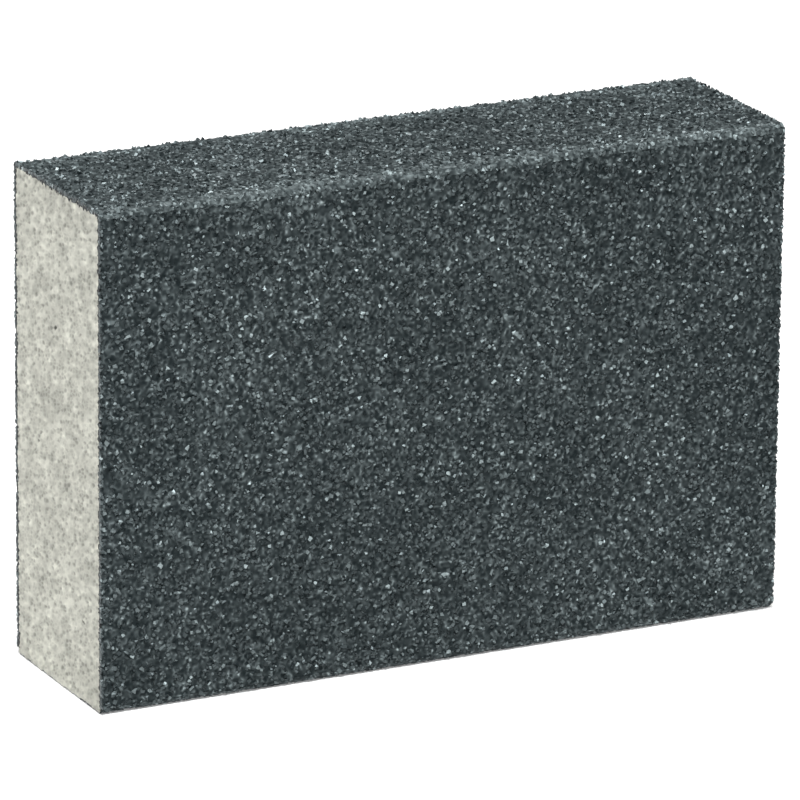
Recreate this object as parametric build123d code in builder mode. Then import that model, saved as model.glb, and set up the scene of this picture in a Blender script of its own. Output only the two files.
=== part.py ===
"""Four-sided sanding block: a firm foam bar with a grit coat on its faces and long edges.

The bar is cut to length after it has been coated, so its two short ends are bare foam. Every
side carries the same three layers, from the foam outwards: a make coat of resin, the layer of
abrasive grains bedded in it, and a size coat of resin that locks the grains.

X runs along the bar, Y through its thickness and Z up. The block stands on a long edge, and
the origin is the middle of the area that it stands on.
"""

import os

from build123d import *

# Overall sizes of the finished block, in millimetres.
block_length = 100.0
block_height = 68.0
block_thickness = 27.0

# The long edges of the foam bar are rounded before it is coated.
foam_corner_radius = 0.5

# Thickness of each layer of the coat.
make_coat_thickness = 0.15
grain_layer_thickness = 0.25
size_coat_thickness = 0.10

# Each layer as (name, depth of its outer surface, depth of its inner surface), where a depth
# is measured inwards from the outside of the finished block.
size_coat_depth = size_coat_thickness
grain_depth = size_coat_depth + grain_layer_thickness
coat_depth = grain_depth + make_coat_thickness
layers = [
    ("size_coat", 0.0, size_coat_depth),
    ("grain_layer", size_coat_depth, grain_depth),
    ("make_coat", grain_depth, coat_depth),
]

# The rounds of all layers share one centre, so each layer keeps its thickness round a corner.
outer_corner_radius = foam_corner_radius + coat_depth

section = Plane.YZ  # cross-section of the bar: local x is Y, local y is Z
mid_height = block_height / 2


def rounded_section(depth, mode=Mode.ADD):
    """The cross-section of the bar at a depth below the outside of the block."""
    with Locations((0, mid_height)):
        RectangleRounded(
            block_thickness - 2 * depth,
            block_height - 2 * depth,
            outer_corner_radius - depth,
            mode=mode,
        )


def run_full_length():
    """Extrudes the cross-section from one cut end to the other."""
    extrude(amount=block_length / 2, both=True)


def write(piece, label):
    """Names a finished piece and writes it to its own STEP file."""
    piece.part.label = label
    export_step(piece.part, f"parts/{label}.step")


def foam_core():
    """The bare foam bar, which shows only at its two cut ends."""
    with BuildPart() as core:
        with BuildSketch(section):
            rounded_section(coat_depth)
        run_full_length()
    return core


def face_layer(side, outer_depth, inner_depth):
    """One flat layer over a broad face, between the rounds. side is -1 in front, 1 behind."""
    face_height = block_height - 2 * outer_corner_radius
    mid_depth = (outer_depth + inner_depth) / 2
    with BuildPart() as layer:
        with BuildSketch(section):
            with Locations((side * (block_thickness / 2 - mid_depth), mid_height)):
                Rectangle(inner_depth - outer_depth, face_height)
        run_full_length()
    return layer


def edge_layer(side, outer_depth, inner_depth):
    """One layer over a long edge, which laps round both corners. side is -1 below, 1 above."""
    band_middle = mid_height + side * (block_height - outer_corner_radius) / 2
    with BuildPart() as layer:
        with BuildSketch(section):
            rounded_section(outer_depth)
            rounded_section(inner_depth, mode=Mode.SUBTRACT)
            with Locations((0, band_middle)):
                Rectangle(block_thickness, outer_corner_radius, mode=Mode.INTERSECT)
        run_full_length()
    return layer


os.makedirs("parts", exist_ok=True)

write(foam_core(), "foam_core")

for layer_name, outer_depth, inner_depth in layers:
    for face_name, side in (("front_face", -1), ("back_face", 1)):
        write(face_layer(side, outer_depth, inner_depth), f"{face_name}_{layer_name}")
    for edge_name, side in (("bottom_edge", -1), ("top_edge", 1)):
        write(edge_layer(side, outer_depth, inner_depth), f"{edge_name}_{layer_name}")
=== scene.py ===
"""Looks of a four-sided sanding block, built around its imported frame.

A firm foam bar carries three layers on each of its two broad faces and two long edges: a make
coat of resin, abrasive grains bedded in it, and a size coat of resin over the grains. Both
short ends are cut foam. X runs along the bar, Y through its thickness and Z up, in metres.
"""

import logging
import math
from dataclasses import dataclass, field
from enum import Enum

import bmesh
import bpy
import numpy as np
from mathutils import Matrix, Vector


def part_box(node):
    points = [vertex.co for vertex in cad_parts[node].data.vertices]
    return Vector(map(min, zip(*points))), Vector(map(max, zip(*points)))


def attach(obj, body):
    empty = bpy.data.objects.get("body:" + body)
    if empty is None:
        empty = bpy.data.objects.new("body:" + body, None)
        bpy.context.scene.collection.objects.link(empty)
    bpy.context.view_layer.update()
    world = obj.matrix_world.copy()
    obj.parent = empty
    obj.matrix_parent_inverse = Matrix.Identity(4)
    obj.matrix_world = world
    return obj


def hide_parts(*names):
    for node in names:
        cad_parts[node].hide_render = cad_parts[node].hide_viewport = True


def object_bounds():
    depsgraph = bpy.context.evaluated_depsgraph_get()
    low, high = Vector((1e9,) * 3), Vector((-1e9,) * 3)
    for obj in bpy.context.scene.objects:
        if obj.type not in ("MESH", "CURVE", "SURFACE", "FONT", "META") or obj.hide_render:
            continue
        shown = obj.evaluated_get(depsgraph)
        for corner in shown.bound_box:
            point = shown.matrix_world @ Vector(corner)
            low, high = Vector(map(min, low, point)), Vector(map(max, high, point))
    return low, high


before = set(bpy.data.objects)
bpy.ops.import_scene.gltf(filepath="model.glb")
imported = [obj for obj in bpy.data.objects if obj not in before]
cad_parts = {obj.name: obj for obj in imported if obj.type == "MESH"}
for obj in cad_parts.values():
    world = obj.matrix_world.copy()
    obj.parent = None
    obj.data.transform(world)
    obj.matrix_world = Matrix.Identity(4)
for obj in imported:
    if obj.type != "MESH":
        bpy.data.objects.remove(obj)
cad_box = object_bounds()

logger = logging.getLogger("sanding_block")

MILLIMETRE = 0.001
QUARTER_TURN = math.pi / 2
BODY = "root"

# New meshes start one unit long and wide, from -0.5 to 0.5. A new sheet's top is at height 0
# and its underside at -1.
UNIT_EDGE = 0.5
NEARLY_EDGE = 0.4999
HALF_DOWN = -0.5

Colour = tuple[float, float, float, float]


class Side(Enum):
    """The four coated sides. Each value is the start of the names of the side's nodes."""

    FRONT = "front_face"
    BACK = "back_face"
    TOP = "top_edge"
    BOTTOM = "bottom_edge"


class GrainForm(Enum):
    """Crushed grains break into blocks and splinters. Each value is the form's proportions."""

    BLOCK = (1.0, 1.0, 1.0)
    SPLINTER = (1.6, 0.75, 0.6)


# --------------------------------------------------------------------------------------------
# Sizes and places
# --------------------------------------------------------------------------------------------


@dataclass(frozen=True)
class BlockShape:
    """Outer sizes of the block, and how deep its grains and its whole coat reach."""

    half_length: float
    half_thickness: float
    height: float
    corner_radius: float
    grain_depth: float
    coat_depth: float

    @classmethod
    def from_frame(cls) -> "BlockShape":
        """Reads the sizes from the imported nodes.

        Returns:
            The shape of the block at rest.
        """
        low, high = cad_box
        face_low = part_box("front_face_size_coat")[0]
        grain_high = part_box("front_face_grain_layer")[1]
        make_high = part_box("front_face_make_coat")[1]
        return cls(
            half_length=high.x,
            half_thickness=high.y,
            height=high.z,
            corner_radius=face_low.z - low.z,
            grain_depth=grain_high.y - low.y,
            coat_depth=make_high.y - low.y,
        )


@dataclass(frozen=True)
class Strip:
    """One coated side as a flat strip, which a long edge laps round both of its corners."""

    shape: BlockShape
    side: Side

    @property
    def is_edge(self) -> bool:
        """Whether the strip covers a long edge, and so laps round corners."""
        return self.side in (Side.TOP, Side.BOTTOM)

    @property
    def is_foot(self) -> bool:
        """Whether the block stands on this strip, where the foam's rim is drawn over the coat."""
        return self.side is Side.BOTTOM

    @property
    def flat_half_width(self) -> float:
        """Half the width of the flat part of the strip."""
        full = self.shape.half_thickness if self.is_edge else self.shape.height / 2
        return full - self.shape.corner_radius

    @property
    def half_width(self) -> float:
        """Half the width of the strip, measured along the outer surface."""
        lap = self.shape.corner_radius * QUARTER_TURN if self.is_edge else 0.0
        return self.flat_half_width + lap

    def lay(self, along: np.ndarray, across: np.ndarray, rise: np.ndarray) -> np.ndarray:
        """Bends points of the flat strip onto their side of the block.

        Args:
            along: Places along the bar, from its middle.
            across: Places across the strip, from its middle.
            rise: Heights above the outer surface, below zero inside the coat.

        Returns:
            The points in the frame, one row each.
        """
        shape = self.shape
        if self.is_edge:
            reach = np.abs(across)
            flat = np.minimum(reach, self.flat_half_width)
            turn = np.clip((reach - self.flat_half_width) / shape.corner_radius, 0, QUARTER_TURN)
            past = np.maximum(reach - self.half_width, 0)
            swing = shape.corner_radius + rise
            out = np.sign(across) * (flat + swing * np.sin(turn))
            up = shape.height - shape.corner_radius + swing * np.cos(turn) - past
            points = np.stack([along, out, up], axis=1)
        else:
            out = -(shape.half_thickness + rise)
            points = np.stack([along, out, shape.height / 2 + across], axis=1)
        if self.side is Side.BACK:
            points *= (-1, -1, 1)
        if self.side is Side.BOTTOM:
            points *= (1, -1, -1)
            points[:, 2] += shape.height
        return points


@dataclass
class CellField:
    """Irregular cells over a rectangle, with one seed point in each square of a loose lattice."""

    length: float
    width: float
    pitch: float
    rng: np.random.Generator
    looseness: float = 0.95
    columns: int = field(init=False)
    rows: int = field(init=False)
    seeds: np.ndarray = field(init=False)

    def __post_init__(self) -> None:
        """Scatters the seed points."""
        self.columns = math.ceil(self.length / self.pitch) + 2
        self.rows = math.ceil(self.width / self.pitch) + 2
        shift = self.rng.uniform(-0.5, 0.5, (self.columns, self.rows, 2)) * self.looseness
        lattice = np.stack(np.indices((self.columns, self.rows)), axis=-1)
        middle = np.array([self.columns - 1, self.rows - 1]) / 2
        self.seeds = (lattice - middle + shift) * self.pitch

    def nearest(self, along: np.ndarray, across: np.ndarray) -> tuple[np.ndarray, np.ndarray]:
        """Finds the cell that each point lies in.

        Args:
            along: Places along the rectangle, from its middle.
            across: Places across the rectangle, from its middle.

        Returns:
            Each point's cell, and how much further away the next seed is than the cell's own,
            which is zero on the border between two cells.
        """
        column = np.rint(along / self.pitch + (self.columns - 1) / 2).astype(int)
        row = np.rint(across / self.pitch + (self.rows - 1) / 2).astype(int)
        points = np.stack([along, across], axis=1)
        first = np.full(len(points), np.inf)
        second = np.full(len(points), np.inf)
        cell = np.zeros(len(points), dtype=int)
        for step_along in (-1, 0, 1):
            for step_across in (-1, 0, 1):
                near_column = np.clip(column + step_along, 0, self.columns - 1)
                near_row = np.clip(row + step_across, 0, self.rows - 1)
                away = np.linalg.norm(points - self.seeds[near_column, near_row], axis=1)
                index = near_column * self.rows + near_row
                repeated = index == cell
                closer = away < first
                runner_up = np.where(repeated, second, np.minimum(second, away))
                second = np.where(closer, first, runner_up)
                cell = np.where(closer, index, cell)
                first = np.minimum(first, away)
        return cell, second - first


# --------------------------------------------------------------------------------------------
# Mesh helpers
# --------------------------------------------------------------------------------------------


def read_points(mesh: bpy.types.Mesh) -> np.ndarray:
    """Reads where a mesh's vertices are.

    Args:
        mesh: The mesh to read.

    Returns:
        One row for each vertex.
    """
    points = np.empty(len(mesh.vertices) * 3, dtype=np.float32)
    mesh.vertices.foreach_get("co", points)
    return points.reshape(-1, 3).astype(float)


def write_points(mesh: bpy.types.Mesh, points: np.ndarray) -> None:
    """Moves a mesh's vertices to the given rows."""
    mesh.vertices.foreach_set("co", points.astype(np.float32).ravel())
    mesh.update()


def write_attribute(mesh: bpy.types.Mesh, name: str, values: np.ndarray) -> None:
    """Stores one number for each vertex, under the name that a material reads."""
    attribute = mesh.attributes.new(name, "FLOAT", "POINT")
    attribute.data.foreach_set("value", values.astype(np.float32))


def triangulate(mesh: bpy.types.Mesh) -> None:
    """Splits each face along its shorter diagonal, and points all faces outwards.

    Args:
        mesh: The mesh to split.
    """
    bm = bmesh.new()
    bm.from_mesh(mesh)
    bmesh.ops.triangulate(bm, faces=bm.faces, quad_method="SHORT_EDGE", ngon_method="BEAUTY")
    bmesh.ops.recalc_face_normals(bm, faces=bm.faces)
    bm.to_mesh(mesh)
    bm.free()


def closed_sheet(name: str, columns: int, rows: int) -> bpy.types.Mesh:
    """Makes a closed sheet, one unit long and wide, with a fine top and a plain underside.

    Args:
        name: The mesh's name.
        columns: Faces along X.
        rows: Faces along Y.

    Returns:
        A mesh with its top at height 0 and its underside at height -1.
    """
    bm = bmesh.new()
    bmesh.ops.create_grid(bm, x_segments=columns, y_segments=rows, size=UNIT_EDGE)
    outline = [e for e in bm.edges if e.is_boundary]
    ends = [e for e in outline if min(abs(v.co.x) for v in e.verts) > NEARLY_EDGE]
    dropped = bmesh.ops.extrude_edge_only(bm, edges=ends)["geom"]
    low_points = [v for v in dropped if isinstance(v, bmesh.types.BMVert)]
    bmesh.ops.translate(bm, verts=low_points, vec=(0, 0, -1))
    low_edges = [e for e in dropped if isinstance(e, bmesh.types.BMEdge)]
    low_edges = [e for e in low_edges if max(v.co.z for v in e.verts) < HALF_DOWN]
    bmesh.ops.bridge_loops(bm, edges=low_edges)
    bmesh.ops.holes_fill(bm, edges=[e for e in bm.edges if e.is_boundary], sides=0)
    bmesh.ops.recalc_face_normals(bm, faces=bm.faces)
    mesh = bpy.data.meshes.new(name)
    bm.to_mesh(mesh)
    bm.free()
    return mesh


def read_grid(values: np.ndarray, column: np.ndarray, row: np.ndarray) -> np.ndarray:
    """Reads a grid of numbers between its points.

    Args:
        values: One number for each column and row.
        column: Where to read along the grid, counted in columns.
        row: Where to read across the grid, counted in rows.

    Returns:
        One blended number for each place.
    """
    short_of_last = 1.001  # so that each place still has a point after it
    column = np.clip(column, 0, values.shape[0] - short_of_last)
    row = np.clip(row, 0, values.shape[1] - short_of_last)
    left = column.astype(int)
    low = row.astype(int)
    rightward = column - left
    upward = row - low
    below = values[left, low] * (1 - rightward) + values[left + 1, low] * rightward
    above = values[left, low + 1] * (1 - rightward) + values[left + 1, low + 1] * rightward
    return below * (1 - upward) + above * upward


def add_piece(name: str, mesh: bpy.types.Mesh, material: bpy.types.Material) -> bpy.types.Object:
    """Adds a finished mesh to the scene as a piece that rides on the block.

    Args:
        name: The piece's name.
        mesh: Its mesh, in place in the frame.
        material: Its finish.

    Returns:
        The new object.
    """
    piece = bpy.data.objects.new(name, mesh)
    bpy.context.scene.collection.objects.link(piece)
    mesh.materials.append(material)
    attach(piece, BODY)
    return piece


# --------------------------------------------------------------------------------------------
# Finishes
# --------------------------------------------------------------------------------------------


class NodeBench:
    """Adds nodes to a material or a group, and links them."""

    def __init__(self, tree: bpy.types.NodeTree) -> None:
        """Works on the given node tree."""
        self.tree = tree

    def add(self, kind: str, settings: dict | None = None, **inputs: object) -> bpy.types.Node:
        """Adds one node.

        Args:
            kind: The node's type in Blender.
            settings: Properties of the node itself.
            inputs: Sockets by name, each a value or a socket to link from. An underscore
                stands for a space, and in_0, in_1 and so on go by number.

        Returns:
            The new node.
        """
        node = self.tree.nodes.new(kind)
        for name, value in (settings or {}).items():
            setattr(node, name, value)
        for name, value in inputs.items():
            numbered = name.startswith("in_")
            key = int(name.removeprefix("in_")) if numbered else name.replace("_", " ")
            if isinstance(value, bpy.types.NodeSocket):
                self.tree.links.new(value, node.inputs[key])
            else:
                node.inputs[key].default_value = value
        return node

    def place(self) -> bpy.types.NodeSocket:
        """Reads each point's place in the frame, and returns its socket."""
        return self.add("ShaderNodeTexCoord").outputs["Object"]

    def attribute(self, name: str) -> bpy.types.NodeSocket:
        """Reads one of the mesh's own numbers, and returns its socket."""
        return self.add("ShaderNodeAttribute", {"attribute_name": name}).outputs["Fac"]

    def fine_bump(self, scale: float, detail: float, height: float) -> bpy.types.NodeSocket:
        """Roughens the surface finely.

        Args:
            scale: How many bumps there are to a metre.
            detail: How many finer layers the bumps have.
            height: How high they stand, in metres.

        Returns:
            The socket of the bumpy surface's normal.
        """
        noise = self.add("ShaderNodeTexNoise", Vector=self.place(), Scale=scale, Detail=detail)
        bump = self.add("ShaderNodeBump", Distance=height, Height=noise.outputs["Fac"])
        return bump.outputs["Normal"]

    def mix(self, share: object, first: object, second: object) -> bpy.types.NodeSocket:
        """Mixes two colours by a share, and returns the mixed colour's socket."""
        node = self.add("ShaderNodeMix", {"data_type": "RGBA"}, in_0=share, in_6=first, in_7=second)
        return node.outputs[2]

    def blend(self, share: object, first: object, second: object) -> bpy.types.NodeSocket:
        """Mixes two numbers by a share, and returns the mixed number's socket."""
        node = self.add("ShaderNodeMix", {"data_type": "FLOAT"}, in_0=share, in_2=first, in_3=second)
        return node.outputs[0]

    def sum(self, operation: str, first: object, second: object = 0.0) -> bpy.types.NodeSocket:
        """Does one sum on two numbers, and returns the answer's socket."""
        node = self.add("ShaderNodeMath", {"operation": operation}, in_0=first, in_1=second)
        return node.outputs[0]

    def ramp(self, value: object, low: object, high: object) -> bpy.types.NodeSocket:
        """Turns low to high into a smooth step from 0 to 1.

        Args:
            value: The number to turn.
            low: Where the step starts.
            high: Where the step ends.

        Returns:
            The socket of the step.
        """
        settings = {"interpolation_type": "SMOOTHSTEP"}
        node = self.add("ShaderNodeMapRange", settings, Value=value, From_Min=low, From_Max=high)
        return node.outputs["Result"]


def new_group(name: str, inputs: dict[str, object], outputs: dict[str, str]) -> bpy.types.NodeTree:
    """Starts a shader node group.

    Args:
        name: The group's name.
        inputs: Each input's name and its value: a number, a colour, or None for a place.
        outputs: Each output's name and its socket type.

    Returns:
        The group, with its input and output nodes in place.
    """
    tree = bpy.data.node_groups.new(name, "ShaderNodeTree")
    for label, value in inputs.items():
        kind = "NodeSocketColor" if isinstance(value, tuple) else "NodeSocketFloat"
        if value is None:
            kind = "NodeSocketVector"
        socket = tree.interface.new_socket(label, in_out="INPUT", socket_type=kind)
        if value is not None:
            socket.default_value = value
    for label, kind in outputs.items():
        tree.interface.new_socket(label, in_out="OUTPUT", socket_type=kind)
    tree.nodes.new("NodeGroupInput")
    tree.nodes.new("NodeGroupOutput")
    return tree


def colour(red: float, green: float, blue: float) -> Colour:
    """An opaque colour in linear light."""
    return (red, green, blue, 1.0)


def mottle_group() -> bpy.types.NodeTree:
    """Builds the group for uneven tone, which every finish uses.

    Returns:
        A group that puts out a Mask from 0 to 1, and a Gain that swings about 1 by a Strength.
    """
    inputs = {"Vector": None, "Scale": 500.0, "Detail": 3.0, "Contrast": 0.5, "Strength": 1.0}
    outputs = {"Mask": "NodeSocketFloat", "Gain": "NodeSocketFloat"}
    tree = new_group("uneven_tone", inputs, outputs)
    bench = NodeBench(tree)
    given = tree.nodes["Group Input"].outputs
    noise = bench.add(
        "ShaderNodeTexNoise", Vector=given["Vector"], Scale=given["Scale"], Detail=given["Detail"]
    )
    half = bench.sum("MULTIPLY", given["Contrast"], 0.5)
    low = bench.sum("SUBTRACT", 0.5, half)
    high = bench.sum("ADD", 0.5, half)
    mask = bench.ramp(noise.outputs["Fac"], low, high)
    swing = bench.sum("SUBTRACT", noise.outputs["Fac"], 0.5)
    gain = bench.sum("EXPONENT", bench.sum("MULTIPLY", swing, given["Strength"]))
    result = tree.nodes["Group Output"].inputs
    tree.links.new(mask, result["Mask"])
    tree.links.new(gain, result["Gain"])
    return tree


def grit_group() -> bpy.types.NodeTree:
    """Builds the group that colours grains and the resin over them.

    Returns:
        A group that puts out a Colour and a Roughness.
    """
    inputs = {
        "Tone": -2.5,
        "Gain": 1.0,
        "Dark": colour(0.01, 0.01, 0.01),
        "Light": colour(0.3, 0.3, 0.3),
        "Dull roughness": 0.5,
        "Bright roughness": 0.3,
    }
    outputs = {"Colour": "NodeSocketColor", "Roughness": "NodeSocketFloat"}
    tree = new_group("grit_tone", inputs, outputs)
    bench = NodeBench(tree)
    given = tree.nodes["Group Input"].outputs
    tone = bench.sum("MULTIPLY", bench.sum("EXPONENT", given["Tone"]), given["Gain"])
    shade = bench.mix(tone, given["Dark"], given["Light"])
    rough = bench.blend(tone, given["Dull roughness"], given["Bright roughness"])
    result = tree.nodes["Group Output"].inputs
    tree.links.new(shade, result["Colour"])
    tree.links.new(rough, result["Roughness"])
    return tree


@dataclass(frozen=True)
class Finish:
    """What every finish shares: a name, the shader and the group for uneven tone."""

    name: str
    specular: float = 0.3

    def start(self) -> tuple[NodeBench, bpy.types.Material, bpy.types.Node]:
        """Starts the material.

        Returns:
            A bench on its nodes, the material, and its Principled shader.
        """
        material = bpy.data.materials.new(self.name)
        material.use_nodes = True
        shader = material.node_tree.nodes["Principled BSDF"]
        shader.inputs["Specular IOR Level"].default_value = self.specular
        return NodeBench(material.node_tree), material, shader

    def unevenness(
        self, bench: NodeBench, place: bpy.types.NodeSocket, **settings: float
    ) -> bpy.types.bpy_prop_collection:
        """Adds the group for uneven tone.

        Args:
            bench: Where to add it.
            place: The socket with the place to read.
            settings: The group's Scale, Detail, Contrast and Strength.

        Returns:
            Its output sockets, Mask and Gain.
        """
        tree = bpy.data.node_groups.get("uneven_tone") or mottle_group()
        node = bench.add("ShaderNodeGroup", {"node_tree": tree})
        bench.tree.links.new(place, node.inputs["Vector"])
        for label, value in settings.items():
            node.inputs[label].default_value = value
        return node.outputs


@dataclass(frozen=True)
class GritFinish(Finish):
    """Dark crushed grains, or the glossy resin film that lies over them. Their lightest tones are
    partly painted highlight, standing in for glints.
    """

    dark: Colour = colour(0.004, 0.0078, 0.0092)
    # The lightest tone: partly the grains' own lighter shade, and partly painted highlight that
    # stands in for glints.
    light: Colour = colour(0.40, 0.475, 0.485)
    sheen: Colour = colour(0.8, 0.96, 1.0)
    cloud_scale: float = 60.0
    cloud_detail: float = 1.0
    cloud_strength: float = 1.0
    dull_roughness: float = 0.4
    bright_roughness: float = 0.2
    bump_scale: float = 9000.0
    bump_detail: float = 2.0
    bump_height: float = 0.01 * MILLIMETRE

    def build(self) -> bpy.types.Material:
        """Builds the material.

        Returns:
            A material that reads the logarithm of each grain's tone from the mesh.
        """
        bench, material, shader = self.start()
        cloud = self.unevenness(
            bench,
            bench.place(),
            Scale=self.cloud_scale,
            Detail=self.cloud_detail,
            Strength=self.cloud_strength,
        )
        tree = bpy.data.node_groups.get("grit_tone") or grit_group()
        grit = bench.add(
            "ShaderNodeGroup",
            {"node_tree": tree},
            Tone=bench.attribute("tone"),
            Gain=cloud["Gain"],
            Dark=self.dark,
            Light=self.light,
            Dull_roughness=self.dull_roughness,
            Bright_roughness=self.bright_roughness,
        )
        bump = bench.fine_bump(self.bump_scale, self.bump_detail, self.bump_height)
        links = bench.tree.links
        links.new(grit.outputs["Colour"], shader.inputs["Base Color"])
        links.new(grit.outputs["Roughness"], shader.inputs["Roughness"])
        links.new(bump, shader.inputs["Normal"])
        shader.inputs["Specular Tint"].default_value = self.sheen
        return material


@dataclass(frozen=True)
class ResinFinish(Finish):
    """The dark make coat, which has soaked unevenly into the foam."""

    dark: Colour = colour(0.012, 0.013, 0.014)
    light: Colour = colour(0.035, 0.038, 0.04)
    patch_scale: float = 2500.0
    roughness: float = 0.6

    def build(self) -> bpy.types.Material:
        """Builds the material.

        Returns:
            A material with darker and lighter patches.
        """
        bench, material, shader = self.start()
        mask = self.unevenness(bench, bench.place(), Scale=self.patch_scale)["Mask"]
        links = bench.tree.links
        links.new(bench.mix(mask, self.dark, self.light), shader.inputs["Base Color"])
        shader.inputs["Roughness"].default_value = self.roughness
        return material


@dataclass(frozen=True)
class FoamFinish(Finish):
    """Pale cut foam: matt, a little warm, and darker inside its cells, which is painted shade."""

    wall: Colour = colour(0.61, 0.61, 0.54)
    # The hollow colour is painted shade: it darkens the cells' hollows, where real foam is only
    # shaded.
    hollow: Colour = colour(0.06, 0.062, 0.055)
    stretch: float = 0.65
    cloud_scale: float = 220.0
    cloud_detail: float = 2.0
    cloud_strength: float = 0.6
    bump_scale: float = 6000.0
    bump_detail: float = 4.0
    bump_height: float = 0.04 * MILLIMETRE
    roughness: float = 0.9

    def build(self) -> bpy.types.Material:
        """Builds the material.

        Returns:
            A material that reads from the mesh each place's darkness, stored as depth, and its
            granules. The darkness is painted shade in the cells' hollows on top of a random tone per
            cell.
        """
        bench, material, shader = self.start()
        squeeze = (1.0, self.stretch, 1.0)
        wide = bench.add("ShaderNodeMapping", Vector=bench.place(), Scale=squeeze)
        cloud = self.unevenness(
            bench,
            wide.outputs["Vector"],
            Scale=self.cloud_scale,
            Detail=self.cloud_detail,
            Strength=self.cloud_strength,
        )
        granule = bench.sum("EXPONENT", bench.attribute("granule"))
        gain = bench.sum("MULTIPLY", cloud["Gain"], granule)
        cells = bench.mix(bench.attribute("depth"), self.wall, self.hollow)
        shade = bench.add("ShaderNodeVectorMath", {"operation": "SCALE"}, in_0=cells, Scale=gain)
        bump = bench.fine_bump(self.bump_scale, self.bump_detail, self.bump_height)
        links = bench.tree.links
        links.new(shade.outputs["Vector"], shader.inputs["Base Color"])
        links.new(bump, shader.inputs["Normal"])
        shader.inputs["Roughness"].default_value = self.roughness
        return material


@dataclass(frozen=True)
class FloorFinish(Finish):
    """A plain white sweep, very slightly uneven, that glows a little to thin its shadows."""

    white: Colour = colour(0.93, 0.93, 0.93)
    shade: Colour = colour(0.91, 0.91, 0.91)
    patch_scale: float = 3.0
    patch_contrast: float = 1.0
    roughness: float = 0.9
    glow: float = 0.25

    def build(self) -> bpy.types.Material:
        """Builds the material.

        Returns:
            A material that glows evenly.
        """
        bench, material, shader = self.start()
        uneven = self.unevenness(
            bench, bench.place(), Scale=self.patch_scale, Contrast=self.patch_contrast
        )
        white = bench.mix(uneven["Mask"], self.white, self.shade)
        bench.tree.links.new(white, shader.inputs["Base Color"])
        shader.inputs["Roughness"].default_value = self.roughness
        shader.inputs["Emission Color"].default_value = self.white
        shader.inputs["Emission Strength"].default_value = self.glow
        return material


# --------------------------------------------------------------------------------------------
# Foam core
# --------------------------------------------------------------------------------------------


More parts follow.
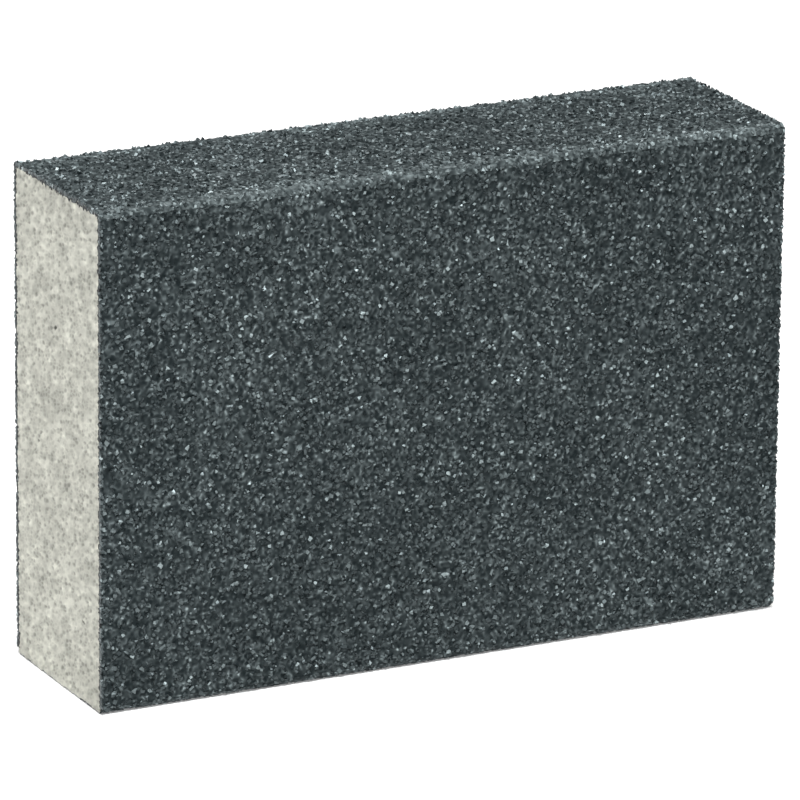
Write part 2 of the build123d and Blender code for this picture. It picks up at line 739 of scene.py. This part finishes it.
@dataclass
class FoamCore:
    """The foam bar. Its two cut ends show the walls and hollows of the sliced cells.

    The blade smears the rim of each end over the coat, in short runs of uneven reach, and most
    of all at the foot, where the block stands. Depths and darkness are shares of the deepest
    and darkest pit's, and cell_lean is a slope.
    """

    shape: BlockShape
    cell_pitch: float = 0.54 * MILLIMETRE
    cell_stretch: float = 1.6
    cell_lean: float = 0.22
    grid_pitch: float = 0.23 * MILLIMETRE
    grid_rise: float = 0.16 * MILLIMETRE
    cell_depth: float = 0.16 * MILLIMETRE
    shallow: float = 0.02
    deep: float = 0.6
    pit_share: float = 0.001
    tint_share: float = 0.25
    granule_spread: float = 0.12
    hollow_width: float = 0.8
    recess: float = 0.03 * MILLIMETRE
    rim_depth: float = 0.3 * MILLIMETRE
    rim_reach: float = 0.6 * MILLIMETRE
    rim_rarity: int = 3
    rim_run: float = 1.2 * MILLIMETRE
    foot_reach: float = 0.5 * MILLIMETRE
    least_push: float = 0.5
    unit_rim: float = 0.05
    lean_room: float = 1.2
    seed: int = 11

    @property
    def half_width(self) -> float:
        """Half the thickness of the foam, inside the coat."""
        return self.shape.half_thickness - self.shape.coat_depth

    @property
    def half_height(self) -> float:
        """Half the height of the foam, inside the coat."""
        return self.shape.height / 2 - self.shape.coat_depth

    def blank(self) -> bpy.types.Mesh:
        """Makes the bar as a unit box whose two ends carry a fine grid and a rim.

        Returns:
            A mesh from -0.5 to 0.5 on each axis, with a rim of unit_rim along X at each end.
        """
        bm = bmesh.new()
        bmesh.ops.create_grid(
            bm,
            x_segments=round(2 * self.half_width / self.grid_pitch),
            y_segments=round(2 * self.half_height / self.grid_rise),
            size=UNIT_EDGE,
        )
        outline = [e for e in bm.edges if e.is_boundary]
        dropped = bmesh.ops.extrude_edge_only(bm, edges=outline)["geom"]
        rim = [v for v in dropped if isinstance(v, bmesh.types.BMVert)]
        bmesh.ops.translate(bm, verts=rim, vec=(0, 0, -self.unit_rim))
        stand_up = Matrix.Rotation(QUARTER_TURN, 4, "Y") @ Matrix.Rotation(QUARTER_TURN, 4, "Z")
        move_out = Matrix.Translation((UNIT_EDGE, 0, 0))
        bmesh.ops.transform(bm, matrix=move_out @ stand_up, verts=bm.verts)
        copied = bmesh.ops.duplicate(bm, geom=bm.verts[:] + bm.edges[:] + bm.faces[:])["geom"]
        far_points = [v for v in copied if isinstance(v, bmesh.types.BMVert)]
        half_turn = Matrix.Rotation(2 * QUARTER_TURN, 3, "Z")
        bmesh.ops.rotate(bm, cent=(0, 0, 0), matrix=half_turn, verts=far_points)
        bmesh.ops.bridge_loops(bm, edges=[e for e in bm.edges if e.is_boundary])
        bmesh.ops.recalc_face_normals(bm, faces=bm.faces)
        mesh = bpy.data.meshes.new("cut_foam_core")
        bm.to_mesh(mesh)
        bm.free()
        return mesh

    def rounded(self, across: np.ndarray, up: np.ndarray) -> tuple[np.ndarray, np.ndarray]:
        """Rounds the corners of the cross-section, and keeps its grid even.

        Args:
            across: Places through the thickness, from the middle.
            up: Places up the height, from the middle.

        Returns:
            The same places with the corner squares pressed into quarter rounds.
        """
        radius = self.shape.corner_radius - self.shape.coat_depth
        past_width = np.clip((np.abs(across) - self.half_width + radius) / radius, 0, 1)
        past_height = np.clip((np.abs(up) - self.half_height + radius) / radius, 0, 1)
        pull_width = past_width * (1 - np.sqrt(1 - past_height**2 / 2)) * radius
        pull_height = past_height * (1 - np.sqrt(1 - past_width**2 / 2)) * radius
        return across - np.sign(across) * pull_width, up - np.sign(up) * pull_height

    def open_cells(
        self, end: int, across: np.ndarray, up: np.ndarray, rng: np.random.Generator
    ) -> tuple[np.ndarray, np.ndarray, np.ndarray]:
        """Cuts open the cells of one end.

        Args:
            end: -1 for the left end, 1 for the right one.
            across: Places through the thickness, from the middle.
            up: Places up the height, from the middle.
            rng: Where the random numbers come from.

        Returns:
            For each place how far it lies below the cut, how dark it is from 0 to 1, and the
            logarithm of its granule's gain. The darkness is a random tone per cell, plus
            painted shade towards each hollow's middle.
        """
        cells = CellField(
            length=2 * self.shape.half_thickness,
            width=self.lean_room * self.shape.height,
            pitch=self.cell_pitch,
            rng=rng,
        )
        level = up - end * self.cell_lean * across
        squeezed = across / self.cell_stretch
        cell, border = cells.nearest(squeezed, level)
        sizes = rng.uniform(self.shallow, self.deep, cells.columns * cells.rows)
        sizes = np.where(rng.random(sizes.shape) < self.pit_share, 1.0, sizes)
        size = sizes[cell]
        hollow = np.clip(border / (self.hollow_width * self.cell_pitch), 0, 1)
        hollow = 1 - (1 - hollow) ** 2
        depth = self.recess + self.cell_depth * size * hollow
        # Painted shade: darkness grows towards each hollow's middle, on a random tone shared by the
        # whole cell.
        dark = size * (self.tint_share + (1 - self.tint_share) * hollow)
        gains = rng.normal(0, self.granule_spread, (cells.columns, cells.rows))
        granule = read_grid(
            gains,
            squeezed / self.cell_pitch + cells.columns / 2,
            level / self.cell_pitch + cells.rows / 2,
        )
        return depth, dark, granule

    def smear(
        self, unit: np.ndarray, across: np.ndarray, up: np.ndarray, rng: np.random.Generator
    ) -> tuple[np.ndarray, np.ndarray]:
        """Draws the outline of the bar out over the coat.

        Args:
            unit: The points of the unit box.
            across: Places through the thickness, from the middle.
            up: Places up the height, from the middle.
            rng: Where the random numbers come from.

        Returns:
            The same places, with those on the outline pushed outwards.
        """
        at_side = np.abs(unit[:, 1]) > NEARLY_EDGE
        at_edge = np.abs(unit[:, 2]) > NEARLY_EDGE
        at_foot = unit[:, 2] < -NEARLY_EDGE
        run = np.rint((up + across) / self.rim_run).astype(int)
        runs = np.ptp(run) + 1
        reaches = self.rim_reach * rng.random(runs) ** self.rim_rarity
        foot_reaches = self.foot_reach * np.sqrt(rng.random(runs))
        reach = np.where(at_foot, foot_reaches[run], reaches[run])
        push = reach * rng.uniform(self.least_push, 1.0, len(unit))
        return across + np.sign(across) * push * at_side, up + np.sign(up) * push * at_edge

    def build(self, finish: FoamFinish) -> bpy.types.Object:
        """Builds the bar and cuts its cells open at both ends.

        Args:
            finish: The foam's finish.

        Returns:
            The finished piece.
        """
        mesh = self.blank()
        unit = read_points(mesh)
        across, up = self.rounded(unit[:, 1] * 2 * self.half_width, unit[:, 2] * 2 * self.half_height)
        rng = np.random.default_rng(self.seed)
        on_cut = np.abs(unit[:, 0]) > NEARLY_EDGE
        inset = np.full(len(unit), self.rim_depth)
        dark = np.ones(len(unit))
        granule = np.zeros(len(unit))
        for end in (-1, 1):
            here = on_cut & (np.sign(unit[:, 0]) == end)
            inset[here], dark[here], granule[here] = self.open_cells(end, across[here], up[here], rng)
        smeared_across, smeared_up = self.smear(unit, across, up, rng)
        across = np.where(on_cut, smeared_across, across)
        up = np.where(on_cut, smeared_up, up)
        along = np.sign(unit[:, 0]) * (self.shape.half_length - inset)
        write_points(mesh, np.stack([along, across, up + self.shape.height / 2], axis=1))
        write_attribute(mesh, "depth", dark)
        write_attribute(mesh, "granule", granule)
        mesh.shade_smooth()
        piece = add_piece("cut_foam_core", mesh, finish.build())
        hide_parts("foam_core")
        return piece


# --------------------------------------------------------------------------------------------
# Coat
# --------------------------------------------------------------------------------------------


@dataclass
class GrainBed:
    """How the grains of one side lie, as a grid over the strip.

    Each point has a height and a tone. Tones are kept as logarithms: usual is the middle of
    those found at a point, and swing is how far they stray from it. The rounds of the upper
    long edge carry a painted highlight: their tones are lighter, and stray less, than the rest.
    """

    strip: Strip
    rng: np.random.Generator
    pitch_along: float = 0.38 * MILLIMETRE
    pitch_across: float = 0.34 * MILLIMETRE
    lowest: float = -0.18 * MILLIMETRE
    highest: float = -0.01 * MILLIMETRE
    tone_median: float = 0.071
    tone_spread: float = 1.05
    height_share: float = 0.35
    # The next three settings set a painted highlight on the rounds of the upper long edge.
    crest_highlight_gain: float = 1.4
    crest_highlight_calm: float = 0.25
    crest_highlight_fade: float = 3.0 * MILLIMETRE
    columns: int = field(init=False)
    rows: int = field(init=False)
    level: np.ndarray = field(init=False)
    usual: np.ndarray = field(init=False)
    swing: np.ndarray = field(init=False)
    tone: np.ndarray = field(init=False)

    def __post_init__(self) -> None:
        """Gives every point its height and tone. High points are lighter than low ones."""
        self.columns = round(2 * self.strip.shape.half_length / self.pitch_along)
        self.rows = round(2 * self.strip.half_width / self.pitch_across)
        points = (self.columns + 1, self.rows + 1)
        height = self.rng.random(points)
        self.level = self.lowest + (self.highest - self.lowest) * height
        own = self.rng.normal(0, 1, points)
        even_to_normal = math.sqrt(12)  # makes the heights spread as far as the normal draws
        lift = (height - 0.5) * even_to_normal
        mixed = self.height_share * lift + math.sqrt(1 - self.height_share**2) * own
        out = np.abs(np.linspace(-1, 1, self.rows + 1)) * self.strip.half_width
        # Painted highlight: tones on the rounds of the upper long edge are made lighter and steadier
        # than the rest.
        crest = np.clip((out - self.strip.flat_half_width) / self.crest_highlight_fade + 1, 0, 1)
        crest = crest * (self.strip.side is Side.TOP) * np.ones(points)
        self.usual = np.log(self.tone_median * (1 + self.crest_highlight_gain * crest))
        self.swing = 1 - self.crest_highlight_calm * crest
        # The spread is the grains' own random shade, and its bright tail is also painted highlight
        # for glints.
        self.tone = self.usual + self.swing * self.tone_spread * mixed

    def sample(self, values: np.ndarray, along: np.ndarray, across: np.ndarray) -> np.ndarray:
        """Reads the grid between its points.

        Args:
            values: One of the bed's own grids.
            along: Places along the bar, from its middle.
            across: Places across the strip, from its middle.

        Returns:
            One blended value for each place.
        """
        column = (along / self.strip.shape.half_length + 1) / 2 * self.columns
        row = (across / self.strip.half_width + 1) / 2 * self.rows
        return read_grid(values, column, row)


@dataclass
class SizeCoat:
    """The resin film over one side, which rises and dips over the grains under it."""

    bed: GrainBed
    looseness: float = 0.22
    stagger: float = 0.25
    crease_angle: float = math.radians(60)
    set_back: float = 0.12 * MILLIMETRE
    raggedness: float = 0.2 * MILLIMETRE

    def places(
        self, unit: np.ndarray, column: np.ndarray, row: np.ndarray
    ) -> tuple[np.ndarray, np.ndarray]:
        """Spreads the grid over the strip, and loosens it so that no rows show.

        Args:
            unit: The points of the sheet, one unit long and wide.
            column: Each point's column.
            row: Each point's row.

        Returns:
            Each point's place along and across the strip.
        """
        bed = self.bed
        shape, rng = bed.strip.shape, bed.rng
        at_end = (column == 0) | (column == bed.columns)
        at_side = (row == 0) | (row == bed.rows)
        shake = rng.uniform(-1, 1, (len(unit), 2)) * self.looseness
        stagger = (row % 2 * 2 - 1) * self.stagger
        inward = np.sign(unit[:, 0]) * (self.set_back + self.raggedness * rng.random(len(unit)))
        slide = np.where(at_side, 0, (shake[:, 0] + stagger) * bed.pitch_along)
        along = unit[:, 0] * 2 * shape.half_length + np.where(at_end, -inward, slide)
        across = unit[:, 1] * 2 * bed.strip.half_width
        across += np.where(at_end | at_side, 0, shake[:, 1] * bed.pitch_across)
        return along, across

    def build(self, finish: GritFinish) -> bpy.types.Object:
        """Builds the film as a closed sheet that fills the coat down to the make coat.

        Args:
            finish: The film's finish.

        Returns:
            The finished piece.
        """
        bed, strip = self.bed, self.bed.strip
        name = f"{strip.side.value}_resin_film"
        mesh = closed_sheet(name, bed.columns, bed.rows)
        unit = read_points(mesh)
        column = np.rint((unit[:, 0] + UNIT_EDGE) * bed.columns).astype(int)
        row = np.rint((unit[:, 1] + UNIT_EDGE) * bed.rows).astype(int)
        under = unit[:, 2] < HALF_DOWN
        rise = np.where(under, -strip.shape.grain_depth, bed.level[column, row])
        along, across = self.places(unit, column, row)
        write_points(mesh, np.stack([along, across, rise], axis=1))
        triangulate(mesh)
        write_points(mesh, strip.lay(along, across, rise))
        write_attribute(mesh, "tone", bed.tone[column, row])
        mesh.shade_smooth()
        mesh.set_sharp_from_angle(angle=self.crease_angle)
        piece = add_piece(name, mesh, finish.build())
        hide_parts(f"{strip.side.value}_size_coat")
        return piece


@dataclass
class GrainLayer:
    """The sharpest grains of one side, which stand through the resin film."""

    bed: GrainBed
    doublings: int
    smallest: float = 0.17 * MILLIMETRE
    largest: float = 0.38 * MILLIMETRE
    bury: float = 0.11 * MILLIMETRE
    proud: float = 0.4 * MILLIMETRE
    forms: tuple[GrainForm, ...] = (GrainForm.BLOCK, GrainForm.BLOCK, GrainForm.SPLINTER)
    kinds: int = 32
    kind_side: float = 1.3
    kind_chip: float = 0.28
    kind_scale: tuple[float, float] = (0.8, 1.1)
    # Sharp grains are lifted lighter than the film under them: painted highlight for the glints of
    # proud grains.
    lift: float = 0.28
    spread: float = 0.95
    end_share: float = 0.05
    end_bury: tuple[float, float] = (0.06 * MILLIMETRE, 0.36 * MILLIMETRE)
    foot_set_back: float = 0.35 * MILLIMETRE

    def kit(self, bm: bmesh.types.BMesh) -> int:
        """Adds one of each kind of grain, about one unit across, all at the origin.

        Args:
            bm: Where to add them.

        Returns:
            How many vertices one grain has.
        """
        rng = self.bed.rng
        for kind in range(self.kinds):
            points = bmesh.ops.create_cube(bm, size=self.kind_side)["verts"]
            for point in points:
                point.co += Vector(rng.uniform(-self.kind_chip, self.kind_chip, 3))
            form = Vector(self.forms[kind % len(self.forms)].value)
            bmesh.ops.scale(bm, vec=form * rng.uniform(*self.kind_scale), verts=points)
        bmesh.ops.triangulate(bm, faces=[f for f in bm.faces if len(f.verts) > 3])
        return len(points)

    def scatter(self, count: int) -> tuple[np.ndarray, np.ndarray, np.ndarray]:
        """Drops grains all over the strip, and more of them along its two cut ends.

        Args:
            count: How many grains to drop.

        Returns:
            Each grain's place along and across the strip, and its height.
        """
        strip, rng = self.bed.strip, self.bed.rng
        half_length = strip.shape.half_length
        clear = self.foot_set_back if strip.is_foot else self.smallest
        along = rng.uniform(-1, 1, count) * (half_length - clear)
        across = rng.uniform(-1, 1, count) * strip.half_width
        rise = self.bed.sample(self.bed.level, along, across)
        rise += self.bury * rng.uniform(-1, 0, count)
        at_end = (rng.random(count) < self.end_share) & (not strip.is_foot)
        along = np.where(at_end, np.sign(along) * (half_length - self.smallest / 2), along)
        rise = np.where(at_end, -rng.uniform(*self.end_bury, count), rise)
        return along, across, rise

    def build(self, finish: GritFinish) -> bpy.types.Object:
        """Scatters the grains over the bed, each turned its own way and partly sunk.

        Args:
            finish: The grains' finish.

        Returns:
            The finished piece.
        """
        strip, rng = self.bed.strip, self.bed.rng
        bm = bmesh.new()
        corners = self.kit(bm)
        for _ in range(self.doublings):
            bmesh.ops.duplicate(bm, geom=bm.verts[:] + bm.edges[:] + bm.faces[:])
        name = f"{strip.side.value}_sharp_grains"
        mesh = bpy.data.meshes.new(name)
        bm.to_mesh(mesh)
        bm.free()
        grains = read_points(mesh).reshape(-1, corners, 3)
        count = len(grains)
        turned = np.einsum("nij,nkj->nki", random_turns(rng, count), grains)
        sizes = rng.uniform(self.smallest, self.largest, count)
        along, across, rise = self.scatter(count)
        usual = self.bed.sample(self.bed.usual, along, across)
        swing = self.bed.sample(self.bed.swing, along, across)
        tone = usual + swing * rng.normal(self.lift, self.spread, count)
        middles = np.stack([along, across, rise], axis=1)
        flat = (turned * sizes[:, None, None] + middles[:, None, :]).reshape(-1, 3)
        half_length = strip.shape.half_length
        highest = 0.0 if strip.is_foot else self.proud
        flat[:, 0] = np.clip(flat[:, 0], -half_length, half_length)
        flat[:, 2] = np.minimum(flat[:, 2], highest)
        write_points(mesh, strip.lay(flat[:, 0], flat[:, 1], flat[:, 2]))
        write_attribute(mesh, "tone", np.repeat(tone, corners))
        mesh.shade_flat()
        piece = add_piece(name, mesh, finish.build())
        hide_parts(f"{strip.side.value}_grain_layer")
        return piece


def random_turns(rng: np.random.Generator, count: int) -> np.ndarray:
    """Makes rotations to any direction.

    Args:
        rng: Where the random numbers come from.
        count: How many rotations to make.

    Returns:
        One 3 by 3 matrix each.
    """
    quaternions = rng.normal(size=(4, count))
    w, x, y, z = quaternions / np.linalg.norm(quaternions, axis=0)
    rows = [
        [1 - 2 * (y * y + z * z), 2 * (x * y - z * w), 2 * (x * z + y * w)],
        [2 * (x * y + z * w), 1 - 2 * (x * x + z * z), 2 * (y * z - x * w)],
        [2 * (x * z - y * w), 2 * (y * z + x * w), 1 - 2 * (x * x + y * y)],
    ]
    return np.moveaxis(np.array(rows), -1, 0)


@dataclass
class MakeCoat:
    """The resin under the grains. Its inner side has soaked unevenly into the foam."""

    strip: Strip
    rng: np.random.Generator
    row_pitch: float = 0.25 * MILLIMETRE
    soak: float = 0.5 * MILLIMETRE
    overlap: float = 0.05 * MILLIMETRE
    set_back: float = 0.03 * MILLIMETRE
    foot_set_back: float = 0.3 * MILLIMETRE
    columns: int = 4

    def build(self, finish: ResinFinish) -> bpy.types.Object:
        """Builds the layer, with a ragged inner outline at both cut ends.

        Args:
            finish: The resin's finish.

        Returns:
            The finished piece.
        """
        strip, shape = self.strip, self.strip.shape
        name = f"{strip.side.value}_bedding_resin"
        mesh = closed_sheet(name, self.columns, round(2 * strip.half_width / self.row_pitch))
        unit = read_points(mesh)
        under = unit[:, 2] < HALF_DOWN
        soaked = shape.coat_depth + self.soak * self.rng.random(len(unit)) ** 2
        rise = np.where(under, -soaked, self.overlap - shape.grain_depth)
        set_back = self.foot_set_back if strip.is_foot else self.set_back
        along = unit[:, 0] * 2 * (shape.half_length - set_back)
        across = unit[:, 1] * 2 * strip.half_width
        write_points(mesh, strip.lay(along, across, rise))
        triangulate(mesh)
        mesh.shade_flat()
        piece = add_piece(name, mesh, finish.build())
        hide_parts(f"{strip.side.value}_make_coat")
        return piece


# --------------------------------------------------------------------------------------------
# Studio
# --------------------------------------------------------------------------------------------


@dataclass(frozen=True)
class Viewpoint:
    """A camera far away on a long lens, in front of the block's left end and a little above.

    Its turns are in radians, its lens in millimetres and its places in metres.
    """

    azimuth: float = math.radians(-26.76)
    elevation: float = math.radians(17.70)
    roll: float = math.radians(0.53)
    distance: float = 1.013
    lens: float = 343.1
    aside: float = -0.14 * MILLIMETRE
    below: float = 1.48 * MILLIMETRE

    def build(self, target: Vector) -> None:
        """Makes the camera.

        Args:
            target: The point that it looks almost straight at.
        """
        level = math.cos(self.elevation)
        back = Vector(
            (
                math.sin(self.azimuth) * level,
                -math.cos(self.azimuth) * level,
                math.sin(self.elevation),
            )
        )
        right = Vector((math.cos(self.azimuth), math.sin(self.azimuth), 0))
        up = back.cross(right)
        turn = Matrix.Rotation(self.roll, 3, back)
        right, up = turn @ right, turn @ up
        place = target + back * self.distance + right * self.aside - up * self.below
        pose = Matrix((right, up, back)).transposed().to_4x4()
        data = bpy.data.cameras.new("viewpoint")
        data.lens = self.lens
        camera = bpy.data.objects.new("viewpoint", data)
        camera.matrix_world = Matrix.Translation(place) @ pose
        bpy.context.scene.collection.objects.link(camera)
        bpy.context.scene.camera = camera


@dataclass(frozen=True)
class SoftLamp:
    """A square lamp, aimed at the block."""

    name: str
    place: tuple[float, float, float]
    size: float
    power: float

    def build(self, target: Vector) -> None:
        """Hangs the lamp.

        Args:
            target: The point that it is turned towards.
        """
        data = bpy.data.lights.new(self.name, "AREA")
        data.size = self.size
        data.energy = self.power
        lamp = bpy.data.objects.new(self.name, data)
        lamp.location = self.place
        lamp.rotation_euler = (target - Vector(self.place)).to_track_quat("-Z", "Y").to_euler()
        bpy.context.scene.collection.objects.link(lamp)


@dataclass
class Studio:
    """A white sweep with soft lamps round it."""

    floor_half_width: float = 3.0
    sky: Colour = colour(1.0, 1.0, 1.0)
    sky_strength: float = 0.1
    lamps: tuple[SoftLamp, ...] = (
        SoftLamp("key_lamp", place=(-0.2, -0.4, 1.05), size=0.35, power=14.0),
        SoftLamp("back_lamp", place=(0.3, 0.7, 1.2), size=0.6, power=8.0),
        SoftLamp("side_lamp", place=(-0.2, -0.04, 0.22), size=0.1, power=0.105),
    )

    def build(self, target: Vector) -> None:
        """Builds the floor, the lamps and the sky.

        Args:
            target: The point that the lamps are aimed at.
        """
        bm = bmesh.new()
        bmesh.ops.create_grid(bm, x_segments=1, y_segments=1, size=self.floor_half_width)
        mesh = bpy.data.meshes.new("sweep")
        bm.to_mesh(mesh)
        bm.free()
        mesh.materials.append(FloorFinish("white_sweep").build())
        floor = bpy.data.objects.new("sweep", mesh)
        bpy.context.scene.collection.objects.link(floor)
        for lamp in self.lamps:
            lamp.build(target)
        world = bpy.data.worlds.new("soft_sky")
        world.use_nodes = True
        sky = world.node_tree.nodes["Background"]
        sky.inputs["Color"].default_value = self.sky
        sky.inputs["Strength"].default_value = self.sky_strength
        bpy.context.scene.world = world
        bpy.context.scene.view_settings.view_transform = "Standard"


# --------------------------------------------------------------------------------------------
# The block
# --------------------------------------------------------------------------------------------


@dataclass
class SandingBlock:
    """The whole block: one foam core, and three layers on each of four sides."""

    shape: BlockShape
    face_doublings: int = 9
    edge_doublings: int = 8
    film_specular: float = 0.1
    grain_specular: float = 0.6
    first_seed: int = 100

    def build(self) -> list[bpy.types.Object]:
        """Builds every piece.

        Returns:
            The finished pieces, in the order they were made.
        """
        made = [FoamCore(self.shape).build(FoamFinish("cut_foam"))]
        for number, side in enumerate(Side):
            strip = Strip(self.shape, side)
            rng = np.random.default_rng(self.first_seed + number)
            bed = GrainBed(strip, rng)
            doublings = self.edge_doublings if strip.is_edge else self.face_doublings
            made.append(MakeCoat(strip, rng).build(ResinFinish("bedding_resin")))
            film = GritFinish("resin_film", specular=self.film_specular)
            made.append(SizeCoat(bed).build(film))
            grains = GritFinish("crushed_grain", specular=self.grain_specular)
            made.append(GrainLayer(bed, doublings).build(grains))
        return made


def main() -> None:
    """Builds the camera, the block and the studio, and reports each piece."""
    logging.basicConfig(level=logging.INFO, format="%(message)s")
    shape = BlockShape.from_frame()
    middle = Vector((0, 0, shape.height / 2))
    Viewpoint().build(middle)
    for piece in SandingBlock(shape).build():
        logger.info("%s: %d triangles", piece.name, len(piece.data.polygons))
    Studio().build(middle)


if __name__ == "__main__":
    main()
